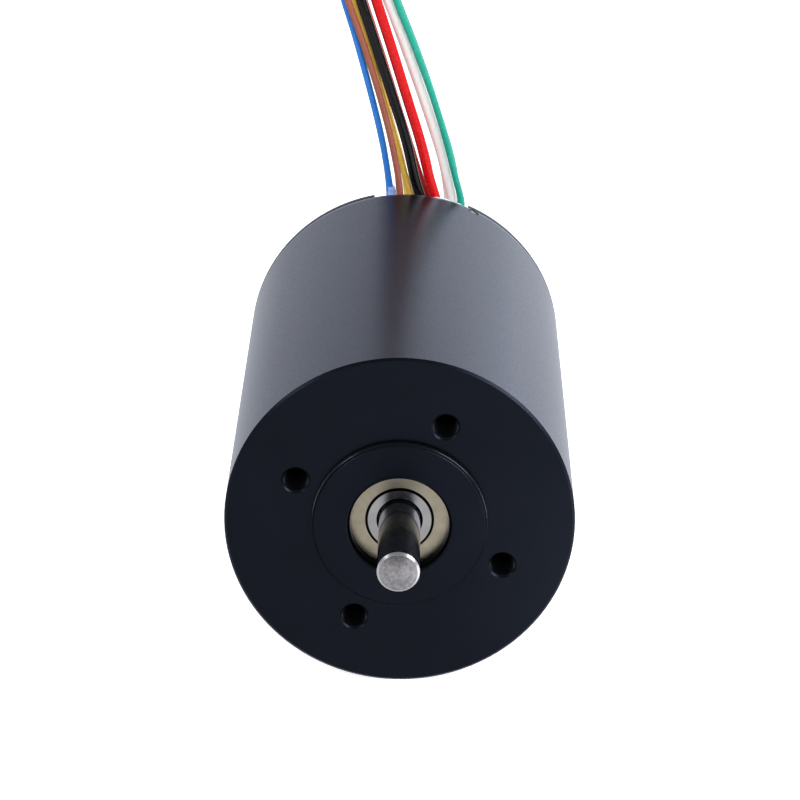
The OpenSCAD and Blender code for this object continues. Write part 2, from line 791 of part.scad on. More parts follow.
function lead_d(lead) =
    len([for (c = PHASE_COLOURS) if (c == lead[0]) 1]) > 0 ? phase_lead_d : sensor_lead_d;

// Where a lead leaves its solder joint on the board.
function lead_start(lead) =
    [lead[2][0], board_top_y + solder_h, body_r + AIR_ROUTE[0][1] + lead[1] * AIR_ROUTE[0][3]];

function lead_floor(lead) = floor_z + floor_lift + lead_d(lead) / 2;

// The places of a lead in the rows of a route, from the first x that belongs to them.
function route_places(lead, rows, first, base_z) = [
    for (i = [0 : len(rows) - 1])
        [
            lead[2][first + i],
            can_len + rows[i][0] + lead[1] * rows[i][2],
            base_z + rows[i][1] + lead[1] * rows[i][3]
        ]
];

function lead_places(lead) =
    let (air = len(AIR_ROUTE), drop = len(DROP_ROUTE))
        concat(
            [lead_start(lead)],
            route_places(lead, AIR_ROUTE, 1, body_r),
            route_places(lead, DROP_ROUTE, 1 + air, floor_z),
            [
                for (i = [0 : len(FLOOR_ROUTE) - 1])
                    [lead[2][1 + air + drop + i], can_len + FLOOR_ROUTE[i], lead_floor(lead)]
            ],
            [[lead[3][0], can_len + lead[3][1], lead_floor(lead)]]
        );

// The number of straight pieces after each place.
PIECES = concat(
    [1], [for (row = AIR_ROUTE) row[4]], [for (row = DROP_ROUTE) row[4]],
    [for (y = FLOOR_ROUTE) 1]
);

// A smooth curve through the points p, between p[i] and p[i + 1].
function curve_point(p, i, t) =
    let (
        a = p[max(i - 1, 0)],
        b = p[i],
        c = p[i + 1],
        d = p[min(i + 2, len(p) - 1)]
    )
        (2 * b + (c - a) * t + (2 * a - 5 * b + 4 * c - d) * t * t
         + (3 * b - a - 3 * c + d) * t * t * t) / 2;

function lead_line(lead) =
    let (p = lead_places(lead), last = len(p) - 1)
        concat(
            [
                for (i = [0 : last - 1], k = [0 : PIECES[i] - 1])
                    curve_point(p, i, k / PIECES[i])
            ],
            [p[last]]
        );

function unit(v) = v / norm(v);

function tube_section(centre, way, r, sides) =
    let (u = unit([1, 0, 0] - way[0] * way), v = cross(way, u))
        [
            for (k = [0 : sides - 1])
                centre + r * cos(k * 360 / sides) * u + r * sin(k * 360 / sides) * v
        ];

module tube(line, r, sides) {
    last = len(line) - 1;
    ways = [
        for (i = [0 : last]) unit(line[min(i + 1, last)] - line[max(i - 1, 0)])
    ];
    points = [for (i = [0 : last]) each tube_section(line[i], ways[i], r, sides)];
    front = [for (k = [0 : sides - 1]) sides - 1 - k];
    back = [for (k = [0 : sides - 1]) last * sides + k];
    polyhedron(points = points, faces = concat([front, back], side_faces(last + 1, sides, false)));
}

module lead(i) {
    tube(lead_line(LEADS[i]), lead_d(LEADS[i]) / 2, 8);
}

module lead_blue() { color("#1f63b8") lead(0); }
module lead_brown() { color("#8f4a38") lead(1); }
module lead_yellow() { color("#d0a22c") lead(2); }
module lead_black() { color("#1a1a1c") lead(3); }
module lead_maroon() { color("#b8402c") lead(4); }
module lead_red() { color("#c81420") lead(5); }
module lead_white() { color("#e6dedc") lead(6); }
module lead_green() { color("#1ea07e") lead(7); }

module lead_tips() {
    color("#c9ccd0") for (lead = LEADS) {
        p = lead_places(lead);
        end = p[len(p) - 1];
        way = end - p[len(p) - 2];
        translate(end) rotate([0, 0, -atan2(way[0], way[1])])
            rod(lead_d(lead) * core_share / 2, 0, tip_len);
    }
}

housing();
rear_cap();
stator_stack();
stack_liner();
winding_phase_u();
winding_phase_v();
winding_phase_w();
front_insulator();
board_carrier();
hall_board();
hall_sensors();
board_parts();
board_screws();
solder_joints();
phase_taps();
slot_seal();
front_outer_ring();
front_inner_ring();
front_balls();
front_cage();
front_outer_shield();
front_inner_shield();
rear_outer_ring();
rear_inner_ring();
rear_balls();
rear_cage();
rear_outer_shield();
rear_inner_shield();
wave_washer();
shaft();
rotor_core();
magnets();
magnet_sleeve();
balance_ring();
sense_magnet();
front_spacer();
rear_spacer();
lead_blue();
lead_brown();
lead_yellow();
lead_black();
lead_maroon();
lead_red();
lead_white();
lead_green();
lead_tips();
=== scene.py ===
# Brushless coreless motor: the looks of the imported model, with its leads, materials and light.
# The part's own frame: the shaft points to -Y, the lead slot faces +Z and the floor lies under
# the can. Numbers are in metres, apart from those of the body, the leads and the sealant, which
# are in millimetres and are multiplied by MM where they are used.
import json
import math

import bmesh
import bpy
from mathutils import Matrix, Vector, noise


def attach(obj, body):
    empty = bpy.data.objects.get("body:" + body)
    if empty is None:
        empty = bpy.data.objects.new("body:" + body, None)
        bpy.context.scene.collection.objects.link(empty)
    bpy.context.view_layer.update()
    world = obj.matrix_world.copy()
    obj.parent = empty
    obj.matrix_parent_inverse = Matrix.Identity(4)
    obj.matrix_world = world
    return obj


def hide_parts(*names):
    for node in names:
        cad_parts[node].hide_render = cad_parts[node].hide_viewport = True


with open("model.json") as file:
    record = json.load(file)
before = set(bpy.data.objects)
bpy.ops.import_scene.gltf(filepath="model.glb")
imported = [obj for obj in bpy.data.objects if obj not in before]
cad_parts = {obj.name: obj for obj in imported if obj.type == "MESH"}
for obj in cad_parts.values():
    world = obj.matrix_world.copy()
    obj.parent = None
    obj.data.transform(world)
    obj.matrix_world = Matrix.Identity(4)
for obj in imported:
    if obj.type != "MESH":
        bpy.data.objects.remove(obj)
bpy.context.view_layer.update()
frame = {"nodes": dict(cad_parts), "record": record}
nodes = frame["nodes"]

MM = 0.001

# The body, in millimetres from the mounting face and from the axis
BODY_R = 21.0
CAN_LEN = 62.4
CAP_END = 63.6
FLOOR_Z = -21.0
FLOOR_GAP = 0.02
BOARD_TOP = 52.4

# Openings, tapped holes and staking pits, in metres
OPENING_R = 0.00595
PILOT_R = 0.0105
HOLE_PITCH_R = 0.0135
HOLE_R = 0.0015
HOLE_ANGLE = math.radians(66)
STAKES = 3
STAKE_R = 0.0007
STAKE_AXIS_R = 0.02125
STAKE_Y = 0.06145
STAKE_ANGLE = math.radians(26.7)

# Where one finish fades into the next, as from and to in metres. R is a distance from the motor's
# axis, Y is a place along it, and X and Z lie across it. HOLE_WALL and PIT_EDGE are distances from
# a hole's axis and from a pit's centre.
OPENING_WALL_R = (OPENING_R + 0.00025, OPENING_R + 0.00035)
OPENING_END_Y = (0.0008, 0.0009)
HOLE_WALL = (HOLE_R - 0.00004, HOLE_R + 0.00006)
HOLE_END_Y = (0.006, 0.0065)
PIT_EDGE = (STAKE_R + 0.00004, STAKE_R + 0.0001)
PIT_FLOOR_R = (0.0208, 0.02088)
PIT_LIP_R = (0.0209, 0.02094)
BOSS_RIM_R = (PILOT_R - 0.00028, PILOT_R - 0.00024)
BOSS_BEVEL_Y = ((-0.00096, -0.00094), (-0.00076, -0.00074))
BOSS_WALL_Y = ((-0.00068, -0.00066), (-0.00004, -0.00002))
BOSS_FOOT_Y = (-0.00002, 0.0)
CAN_EDGE_Y = ((0.06155, 0.0618), (0.06236, 0.0624))
CAP_START_Y = (0.0624, 0.06242)
SHAFT_END_Y = (-0.014, -0.01394)
SHAFT_FACE_R = (0.00219, 0.00223)
RING_BORE_R = (0.00275, 0.00281)
RING_STEP_R = ((0.00379, 0.00383), (0.0042, 0.00425))
SHIELD_BORE_R = (0.00412, 0.00416)
COLLAR_SIDE_X = (-0.0016, -0.0004)
COLLAR_FOOT_Z = (0.019, 0.0205)

# Camera
camera_data = bpy.data.cameras.new("camera")
camera_data.sensor_width = 36.0
camera_data.lens = 144.0
camera_data.clip_start = 0.01
camera_data.clip_end = 20.0
camera = bpy.data.objects.new("camera", camera_data)
bpy.context.scene.collection.objects.link(camera)
camera.matrix_world = Matrix((
    (0.999943, -0.002279, 0.010391, 0.003997),
    (0.010499, 0.368756, -0.929467, -0.350097),
    (-0.001714, 0.929523, 0.368759, 0.154684),
    (0.0, 0.0, 0.0, 1.0),
))
bpy.context.scene.camera = camera
bpy.context.scene.view_settings.view_transform = "Standard"

# Lead routes, repeated from the part's source in millimetres. Each row is a place on the
# outermost line of the bundle: y behind the seam, z above the can, and the way inside as y, z.
AIR_ROUTE = [
    (-5.4, -5, 0, -1), (-1.6, -5, 0, -1), (-0.9, -5, 0, -1), (1.2, -4.1, 0.7, -0.7),
    (2.1, -2, 1, 0), (2.2, 1.6, 1, 0), (2.4, 7, 1, 0), (2.6, 13, 1, 0),
    (2.8, 20, 1, 0), (3.2, 27, 1, 0), (5.1, 33.5, 0.9, -0.4), (9.2, 38.4, 0.5, -0.85),
    (15.1, 40.2, 0, -1), (21.4, 38.2, -0.5, -0.85), (25.6, 33, -0.9, -0.4),
    (27.6, 26, -1, 0), (28, 19, -1, 0), (28, 11, -1, 0), (27.8, 3, -1, 0),
    (27.6, -5, -1, 0), (27.6, -13, -1, 0),
]
DROP_ROUTE = [(27.8, 19, -0.6, 0), (28.5, 10, -0.2, 0), (31, 3.6, 0, 0)]
FLOOR_ROUTE = [36.1, 43.6, 51.6, 59.6, 67.6]
FLOOR_LIFT = 0.02
START_BEHIND_BOARD = 0.8
START_DEPTH = 5

# Tinned ends: lengths in millimetres, counts, and shares of the width and of the length
CORE_SHARE = 0.55
TIP_LEN = 5.0
TIP_HIDDEN = 1.2
TIP_RINGS = 26
TIP_SIDES = 28
STRAND_RIPPLE = 0.07
ROUND_FROM = 0.94
ROUND_SHARE = 0.06

# Each lead: its diameter, how far inside the bundle it runs, its x along the route and its end.
LEADS = {
    "blue": (0.9, 1.1, [-1.9, -1.9, -1.9, -1.9, -1.9, -1.75, -2.2, -3.1, -4.5, -6.3, -8.4, -10.2,
        -11.5, -12.3, -12.5, -12.2, -10.6, -8.4, -6.2, -4.2, -2.7, -2.3, -2.7, -3.3, -3.8,
        -4.5, -6, -8.2, -11, -14.2], (-17, 74)),
    "brown": (0.9, 0, [-0.7, -0.7, -0.7, -0.7, -0.7, -0.5, -0.8, -1.8, -3.3, -5.4, -7.8, -9.8,
        -11.2, -12, -12.2, -11.8, -10.4, -7.9, -5.3, -3, -1.3, -1, -1.4, -1.9, -2.3,
        -2.9, -4, -5.6, -7.4, -9.2], (-10.6, 72.2)),
    "yellow": (0.9, 1.1, [0.6, 0.6, 0.6, 0.6, 0.6, 0.95, 0.1, -1.35, -3.05, -4.9, -7.1, -8.9,
        -10.2, -11, -11.2, -10.8, -9.3, -7, -4.6, -2.3, -0.3, 0.4, 0.1, -0.3, -0.6,
        -1, -1.8, -2.8, -3.6, -4], (-4, 75.6)),
    "black": (1.4, 0, [1.9, 1.9, 1.9, 1.9, 1.9, 2.35, 1.4, 0.2, -1.6, -3.8, -6, -7.8,
        -9, -9.8, -10, -9.6, -8.1, -6.1, -3.6, -1.1, 0.9, 1.8, 1.8, 1.6, 1.4,
        1.2, 0.9, 0.6, 0.7, 1.2], (2, 73.6)),
    "maroon": (0.9, 1.3, [2.7, 2.7, 2.7, 2.7, 2.7, 3.25, 2.1, 0.4, -1.6, -3.8, -5.8, -7.3,
        -8.5, -9.2, -9.4, -9, -7.6, -5.5, -3, -0.6, 1.7, 2.6, 3, 3.1, 3.2,
        3.2, 3.3, 3.6, 4.4, 5.8], (7.6, 76)),
    "red": (1.4, 0, [3.9, 3.9, 3.9, 3.9, 3.9, 4.35, 3.4, 2.1, 0.3, -1.8, -4, -5.8,
        -7, -7.7, -7.9, -7.5, -6.1, -3.9, -1.5, 0.9, 3.1, 3.9, 4.4, 4.7, 4.9,
        5.1, 5.6, 6.4, 7.8, 9.6], (11.4, 73.2)),
    "white": (1.4, 1, [6.2, 6.2, 6.2, 6.2, 6.2, 6.5, 5.75, 4.4, 2.5, 0.1, -2.6, -4.4,
        -5.6, -6.3, -6.5, -6.1, -4.7, -2.2, 0.6, 3.3, 5.6, 6.4, 6.5, 6.8, 7.1,
        7.4, 8.2, 9.4, 11, 12.8], (14.4, 72)),
    "green": (0.9, 0, [7.3, 7.3, 7.3, 7.3, 7.3, 7.8, 6.95, 5.6, 3.8, 1.3, -1.4, -3.3,
        -4.5, -5.1, -5.3, -4.9, -3.5, -0.9, 2.1, 4.7, 6.9, 7.6, 8, 8.5, 8.9,
        9.3, 10.4, 12, 14, 16], (17.8, 72.6)),
}


def lead_places(colour):
    diameter, inset, xs, end = LEADS[colour]
    places = [Vector((xs[0], BOARD_TOP + START_BEHIND_BOARD, BODY_R - START_DEPTH - inset))]
    for i, (y, z, inner_y, inner_z) in enumerate(AIR_ROUTE):
        x = xs[1 + i]
        places.append(Vector((x, CAN_LEN + y + inset * inner_y, BODY_R + z + inset * inner_z)))
    for i, (y, z, inner_y, inner_z) in enumerate(DROP_ROUTE):
        x = xs[1 + len(AIR_ROUTE) + i]
        places.append(Vector((x, CAN_LEN + y + inset * inner_y, FLOOR_Z + z + inset * inner_z)))
    rest_z = FLOOR_Z + FLOOR_LIFT + diameter / 2
    for i, y in enumerate(FLOOR_ROUTE):
        x = xs[1 + len(AIR_ROUTE) + len(DROP_ROUTE) + i]
        places.append(Vector((x, CAN_LEN + y, rest_z)))
    places.append(Vector((end[0], CAN_LEN + end[1], rest_z)))
    return places


def smooth_line(places, pieces):
    line = []
    last = len(places) - 1
    for i in range(last):
        a = places[max(i - 1, 0)]
        b = places[i]
        c = places[i + 1]
        d = places[min(i + 2, last)]
        for k in range(pieces):
            t = k / pieces
            line.append((2 * b + (c - a) * t + (2 * a - 5 * b + 4 * c - d) * t * t
                         + (3 * b - a - 3 * c + d) * t ** 3) / 2)
    line.append(places[last])
    return line


def make_curve(name, line, radius, sides):
    curve = bpy.data.curves.new(name, "CURVE")
    curve.dimensions = "3D"
    curve.bevel_depth = radius * MM
    curve.bevel_resolution = sides
    curve.use_fill_caps = True
    spline = curve.splines.new("POLY")
    spline.points.add(len(line) - 1)
    for point, place in zip(spline.points, line):
        point.co = (place.x * MM, place.y * MM, place.z * MM, 1)
    spline.use_smooth = True
    piece = bpy.data.objects.new(name, curve)
    bpy.context.scene.collection.objects.link(piece)
    return piece


# Tools for materials


def feed(tree, value, into):
    """Link an output to a socket, or give the socket a number or a colour of its own."""
    if isinstance(value, bpy.types.NodeSocket):
        tree.links.new(value, into)
    elif isinstance(value, tuple):
        into.default_value = (*value, 1)
    else:
        into.default_value = value


def span(tree, value, low, high, to_low=0.0, to_high=1.0):
    """The value, mapped from low and high to two others and held between them."""
    node = tree.nodes.new("ShaderNodeMapRange")
    node.inputs["From Min"].default_value = low
    node.inputs["From Max"].default_value = high
    node.inputs["To Min"].default_value = to_low
    node.inputs["To Max"].default_value = to_high
    tree.links.new(value, node.inputs["Value"])
    return node.outputs["Result"]


class Shade:
    """A material under construction: one principled shader and the nodes that feed it."""

    def __init__(self, name, colour, metallic, rough):
        self.material = bpy.data.materials.new(name)
        self.material.use_nodes = True
        self.tree = self.material.node_tree
        self.shader = self.tree.nodes["Principled BSDF"]
        self.place = self.tree.nodes.new("ShaderNodeTexCoord").outputs["Object"]
        self.set(Base_Color=colour, Metallic=metallic, Roughness=rough)

    def set(self, **values):
        for name, value in values.items():
            feed(self.tree, value, self.shader.inputs[name.replace("_", " ")])

    def link(self, out, into):
        self.tree.links.new(out, into)

    def stretched(self, scale):
        mapping = self.tree.nodes.new("ShaderNodeMapping")
        mapping.inputs["Scale"].default_value = scale
        self.link(self.place, mapping.inputs["Vector"])
        return mapping.outputs["Vector"]

    def noise(self, scale, detail=3.0, rough=0.55, vector=None):
        node = self.tree.nodes.new("ShaderNodeTexNoise")
        node.inputs["Scale"].default_value = scale
        node.inputs["Detail"].default_value = detail
        node.inputs["Roughness"].default_value = rough
        self.link(vector or self.place, node.inputs["Vector"])
        return node.outputs["Fac"]

    def math(self, kind, *values):
        node = self.tree.nodes.new("ShaderNodeMath")
        node.operation = kind
        for socket, value in zip(node.inputs, values):
            feed(self.tree, value, socket)
        return node.outputs["Value"]

    def chain(self, kind, first, *others):
        """The operation on the first value and the second, on the result and the third, and on."""
        out = first
        for other in others:
            out = self.math(kind, out, other)
        return out

    def times(self, *values):
        return self.chain("MULTIPLY", *values)

    def most(self, *values):
        return self.chain("MAXIMUM", *values)

    def without(self, value):
        return self.math("SUBTRACT", 1.0, value)

    def span(self, value, fade, to_low, to_high):
        return span(self.tree, value, *fade, to_low, to_high)

    def above(self, value, fade):
        """1 past the fade and 0 before it."""
        return self.span(value, fade, 0.0, 1.0)

    def below(self, value, fade):
        """1 before the fade and 0 past it."""
        return self.span(value, fade, 1.0, 0.0)

    def between(self, value, rise, fall):
        return self.times(self.above(value, rise), self.below(value, fall))

    def blend(self, factor, a, b):
        node = self.tree.nodes.new("ShaderNodeMix")
        node.data_type = "RGBA"
        feed(self.tree, a, node.inputs[6])
        feed(self.tree, b, node.inputs[7])
        self.link(factor, node.inputs["Factor"])
        return node.outputs[2]

    def split(self, vector=None):
        """X, Y and Z of a vector, or of the place on the surface."""
        node = self.tree.nodes.new("ShaderNodeSeparateXYZ")
        self.link(vector or self.place, node.inputs["Vector"])
        return node.outputs["X"], node.outputs["Y"], node.outputs["Z"]

    def radius(self):
        """Distance from the motor's axis, and the place along it, in metres."""
        x, y, z = self.split()
        return self.math("SQRT", self.math("ADD", self.times(x, x), self.times(z, z))), y

    def from_holes(self):
        """Distance from the nearest axis of the four tapped holes, in metres."""
        turned = self.tree.nodes.new("ShaderNodeMapping")
        turned.inputs["Rotation"].default_value = (0, HOLE_ANGLE - math.pi / 4, 0)
        self.link(self.place, turned.inputs["Vector"])
        x, _, z = self.split(turned.outputs["Vector"])
        squares = []
        for value in (x, z):
            off = self.math("SUBTRACT", self.math("ABSOLUTE", value), HOLE_PITCH_R / math.sqrt(2))
            squares.append(self.times(off, off))
        return self.math("SQRT", self.math("ADD", *squares))

    def from_stakes(self):
        """Distance from the nearest centre of the staking pits' balls, in metres."""
        distances = []
        for i in range(STAKES):
            angle = STAKE_ANGLE + 2 * math.pi * i / STAKES
            apart = self.tree.nodes.new("ShaderNodeVectorMath")
            apart.operation = "DISTANCE"
            self.link(self.place, apart.inputs[0])
            apart.inputs[1].default_value = (STAKE_AXIS_R * math.sin(angle), STAKE_Y,
                                             STAKE_AXIS_R * math.cos(angle))
            distances.append(apart.outputs["Value"])
        return self.chain("MINIMUM", *distances)

    def turning(self, scale):
        """Marks that run round the axis, as a lathe leaves them."""
        far, along = self.radius()
        joined = self.tree.nodes.new("ShaderNodeCombineXYZ")
        self.link(far, joined.inputs["X"])
        self.link(along, joined.inputs["Y"])
        return self.noise(scale, 2.0, 0.5, joined.outputs["Vector"])

    def bump(self, height, distance, after=None):
        node = self.tree.nodes.new("ShaderNodeBump")
        node.inputs["Distance"].default_value = distance
        node.inputs["Strength"].default_value = 1.0
        self.link(height, node.inputs["Height"])
        if after is not None:
            self.link(after, node.inputs["Normal"])
        self.set(Normal=node.outputs["Normal"])
        return node.outputs["Normal"]


def srgb(r, g, b):
    values = []
    for v in (r, g, b):
        v /= 255
        values.append(v / 12.92 if v <= 0.04045 else ((v + 0.055) / 1.055) ** 2.4)
    return tuple(values)


# Materials. The depth of a bump is in metres, and a noise's scale in clouds to the metre.
NOISE_RANGE = (0.3, 0.7)
STAIN_RANGE = (0.35, 0.7)
STAIN_TINT = 0.85
GLOSS_SPREAD = 0.06
LAMINATION = 0.00035
FACE_CROWN = -65.0


def metal(name, colour, rough, marks=9000, deep=0.000002, bore=None):
    """Machined metal with fine turning marks, small stains and uneven gloss. Within the given
    radius from the axis it is painted near black: painted shade in the gap beyond it."""
    shade = Shade(name, colour, 1.0, rough)
    darker = tuple(c * STAIN_TINT for c in colour)
    skin = shade.blend(shade.above(shade.noise(420, 4.0, 0.6), STAIN_RANGE), colour, darker)
    if bore is not None:
        # Painted shade: near black within the given radius.
        far, _ = shade.radius()
        skin = shade.blend(shade.below(far, bore), skin, srgb(14, 13, 13))
    gloss = shade.noise(1600, 3.0, 0.6)
    shade.set(Base_Color=skin,
              Roughness=shade.span(gloss, NOISE_RANGE, rough - GLOSS_SPREAD, rough + GLOSS_SPREAD))
    shade.bump(shade.turning(marks), deep)
    return shade.material


def mottled(name, colour, metallic, rough, clouds, tones, grain, deep):
    """A moulded or plated surface in two close tones, with a fine grain."""
    shade = Shade(name, colour, metallic, rough)
    shade.set(Base_Color=shade.blend(shade.noise(clouds), *tones))
    shade.bump(shade.noise(grain), deep)
    return shade.material


def insulation(name, colour, deep_colour, rough=0.24):
    """Soft lead insulation: slightly waxy, with small clouds and an uneven gloss."""
    shade = Shade(name, colour, 0.0, rough)
    gloss = shade.noise(1800, 3.0)
    shade.set(Base_Color=shade.blend(shade.noise(260, 3.0), colour, deep_colour),
              Roughness=shade.span(gloss, NOISE_RANGE, rough - 0.06, rough + 0.08), IOR=1.34)
    shade.bump(shade.noise(3500, 2.0), 0.000004)
    return shade.material


def black_anodised():
    """Bead blasted and anodised aluminium: near black with a fine satin grain. The walls of the
    bearing's opening and of the tapped holes are matt and painted black, as painted shade, and
    those of the boss nearly so, with painted highlights as bright lines along its edges. The can's
    rear edge is paler, a painted highlight, and the cap is darker. The staking pits' floors are
    pale, as bare metal with a painted highlight, and their rims are a painted shadow."""
    shade = Shade("black_anodised", srgb(27, 29, 36), 1.0, 0.36)
    shade.set(IOR=1.05, Specular_Tint=(0.88, 0.905, 1.0))
    shade.set(Sheen_Weight=0.3, Sheen_Roughness=0.2, Sheen_Tint=(0.86, 0.92, 1.0))
    far, along = shade.radius()
    # The opening's wall and the holes' walls are painted near black and not metallic: painted
    # shade in these recesses, with a rougher surface.
    opening = shade.times(shade.below(far, OPENING_WALL_R), shade.below(along, OPENING_END_Y))
    holes = shade.times(shade.below(along, HOLE_END_Y), shade.below(shade.from_holes(), HOLE_WALL))
    # The pits' floors are painted pale and not metallic: bare metal, painted lighter as a painted
    # highlight. Their rims are painted nearly black as a painted shadow.
    pit = shade.below(shade.from_stakes(), PIT_EDGE)
    bare_pit_and_highlight = shade.times(pit, shade.below(far, PIT_FLOOR_R))
    pit_rim_shade = shade.times(pit, shade.above(far, PIT_LIP_R))
    # The boss's bevel and wall are painted nearly black and not metallic, as painted shade. The
    # lines beside them, in bright, are painted highlights: a lighter colour, and glossier.
    rim = shade.above(far, BOSS_RIM_R)
    band = shade.times(rim, shade.most(shade.between(along, *BOSS_BEVEL_Y),
                                       shade.between(along, *BOSS_WALL_Y)))
    raised = shade.times(rim, shade.below(along, BOSS_FOOT_Y))
    bright = shade.times(raised, shade.without(band))
    dull_and_painted_shade = shade.most(opening, holes, shade.times(band, 0.65), shade.times(pit_rim_shade, 0.8))
    cap = shade.above(along, CAP_START_Y)
    # The can's rear edge is painted pale: a painted highlight along its edge.
    edge = shade.between(along, *CAN_EDGE_Y)

    satin = shade.blend(shade.noise(160, 3.0, 0.5), srgb(25, 28, 35), srgb(30, 33, 41))
    satin = shade.blend(cap, satin, srgb(20, 22, 27))
    satin = shade.blend(edge, satin, srgb(92, 93, 101))
    satin = shade.blend(bare_pit_and_highlight, satin, srgb(150, 148, 150))
    satin = shade.blend(bright, satin, srgb(44, 46, 55))
    grain = shade.span(shade.noise(5200, 2.0, 0.6), NOISE_RANGE, 0.3, 0.42)
    gloss = shade.math("SUBTRACT", grain, shade.times(bright, 0.14))
    worn = shade.times(shade.math("ADD", dull_and_painted_shade, shade.times(cap, 0.12)), 0.5)
    shade.set(Base_Color=shade.blend(dull_and_painted_shade, satin, srgb(4, 4, 5)),
              Metallic=shade.without(shade.most(dull_and_painted_shade, bare_pit_and_highlight)),
              Roughness=shade.math("ADD", gloss, worn))
    fine = shade.bump(shade.noise(7000, 2.0, 0.6), 0.000003)
    shade.bump(shade.noise(2600, 2.0, 0.5), 0.0000025, fine)
    return shade.material


def lamination_steel():
    """Stacked electrical steel, in sheets across the axis."""
    shade = Shade("lamination_steel", srgb(150, 153, 160), 1.0, 0.38)
    _, along = shade.radius()
    sheets = shade.math("SINE", shade.times(along, 2 * math.pi / LAMINATION))
    shade.set(Base_Color=shade.blend(shade.above(sheets, (-1, 1)), srgb(95, 98, 106),
                                     srgb(160, 163, 170)))
    shade.bump(sheets, 0.00001)
    return shade.material


def enamelled_copper():
    """Bonded copper wires that run along the motor."""
    shade = Shade("enamelled_copper", srgb(190, 106, 52), 0.85, 0.3)
    wires = shade.noise(5200, 1.0, 0.4, shade.stretched((1.0, 0.12, 1.0)))
    shade.set(Base_Color=shade.blend(shade.above(wires, (0.35, 0.65)), srgb(150, 74, 34),
                                     srgb(214, 128, 68)),
              Roughness=shade.span(wires, NOISE_RANGE, 0.24, 0.4))
    shade.bump(wires, 0.00003)
    return shade.material


def board():
    """A circuit board's green solder mask over a weave, with a clear coat."""
    shade = Shade("board", srgb(26, 86, 54), 0.0, 0.28)
    weave = shade.noise(2600, 2.0, 0.5)
    shade.set(Base_Color=shade.blend(weave, srgb(20, 74, 46), srgb(34, 98, 62)),
              Coat_Weight=0.4, Coat_Roughness=0.12)
    shade.bump(weave, 0.000004)
    return shade.material


def solder():
    shade = Shade("solder", srgb(205, 208, 212), 1.0, 0.22)
    shade.set(Roughness=shade.span(shade.noise(1500), NOISE_RANGE, 0.15, 0.35))
    shade.bump(shade.noise(1200), 0.00001)
    return shade.material


def sealant():
    """Cured bluish white silicone, a little translucent and lumpy. The blue lead shows through
    the collar that climbed it."""
    shade = Shade("sealant", srgb(222, 230, 242), 0.0, 0.32)
    clear = shade.blend(shade.noise(700, 3.0), srgb(206, 218, 240), srgb(240, 243, 248))
    x, _, z = shade.split()
    collar = shade.times(shade.below(x, COLLAR_SIDE_X), shade.above(z, COLLAR_FOOT_Z))
    shade.set(Base_Color=shade.blend(collar, clear, srgb(142, 178, 244)),
              Subsurface_Weight=0.25, Subsurface_Scale=0.0008)
    shade.bump(shade.noise(900, 3.0, 0.5), 0.00006)
    return shade.material


def shaft_steel():
    """Ground and polished steel with a sharper coat, whose gloss is drawn out along the grinding
    marks. The faced end has no coat. It is cloudy and a little crowned, with a bright bevel."""
    shade = Shade("shaft_steel", srgb(180, 179, 184), 1.0, 0.16)
    far, along = shade.radius()
    end = shade.below(along, SHAFT_END_Y)
    face = shade.times(end, shade.below(far, SHAFT_FACE_R))
    ground = shade.blend(shade.above(shade.noise(900, 4.0, 0.6), NOISE_RANGE), srgb(163, 170, 189),
                         srgb(177, 184, 203))
    cloud = shade.math("ADD", shade.times(shade.turning(5200), 0.25),
                       shade.times(shade.noise(2300, 4.0, 0.6), 0.75))
    faced = shade.blend(shade.above(cloud, (0.38, 0.62)), srgb(131, 128, 130), srgb(168, 165, 167))
    rim = shade.blend(end, ground, srgb(192, 189, 192))
    gloss = shade.span(shade.noise(2400), NOISE_RANGE, 0.17, 0.23)
    bevel = shade.times(shade.math("SUBTRACT", end, face), 0.05)
    duller = shade.math("ADD", shade.times(end, 0.13), bevel)
    round_axis = shade.tree.nodes.new("ShaderNodeTangent")
    round_axis.direction_type = "RADIAL"
    round_axis.axis = "Y"
    shade.set(Base_Color=shade.blend(face, rim, faced), Roughness=shade.math("ADD", gloss, duller))
    shade.set(Coat_Weight=shade.without(end), Coat_IOR=2.2, Coat_Roughness=0.04)
    shade.set(Anisotropic=0.75, Anisotropic_Rotation=0.25, Tangent=round_axis.outputs["Tangent"])
    domed = shade.bump(shade.times(far, far, FACE_CROWN, face), 1.0)
    shade.bump(shade.turning(14000), 0.0000008, domed)
    return shade.material


def bearing_steel():
    """Ground rings. The edge of the inner ring's hole and the step behind the shield's edge are
    painted near black, as painted shade.
    """
    shade = Shade("bearing_steel", srgb(190, 189, 196), 1.0, 0.14)
    far, _ = shade.radius()
    stained_steel = shade.blend(shade.above(shade.noise(300, 3.0, 0.5), STAIN_RANGE), srgb(168, 165, 164),
                        srgb(153, 150, 150))
    # Painted shade: the inner ring's hole edge and the step behind the shield are painted near
    # black.
    painted_shade = shade.most(shade.between(far, *RING_STEP_R), shade.below(far, RING_BORE_R))
    shade.set(Base_Color=shade.blend(painted_shade, stained_steel, srgb(12, 11, 12)),
              Roughness=shade.span(shade.noise(1200, 2.0, 0.5), NOISE_RANGE, 0.16, 0.24))
    shade.bump(shade.turning(9000), 0.0000008)
    return shade.material


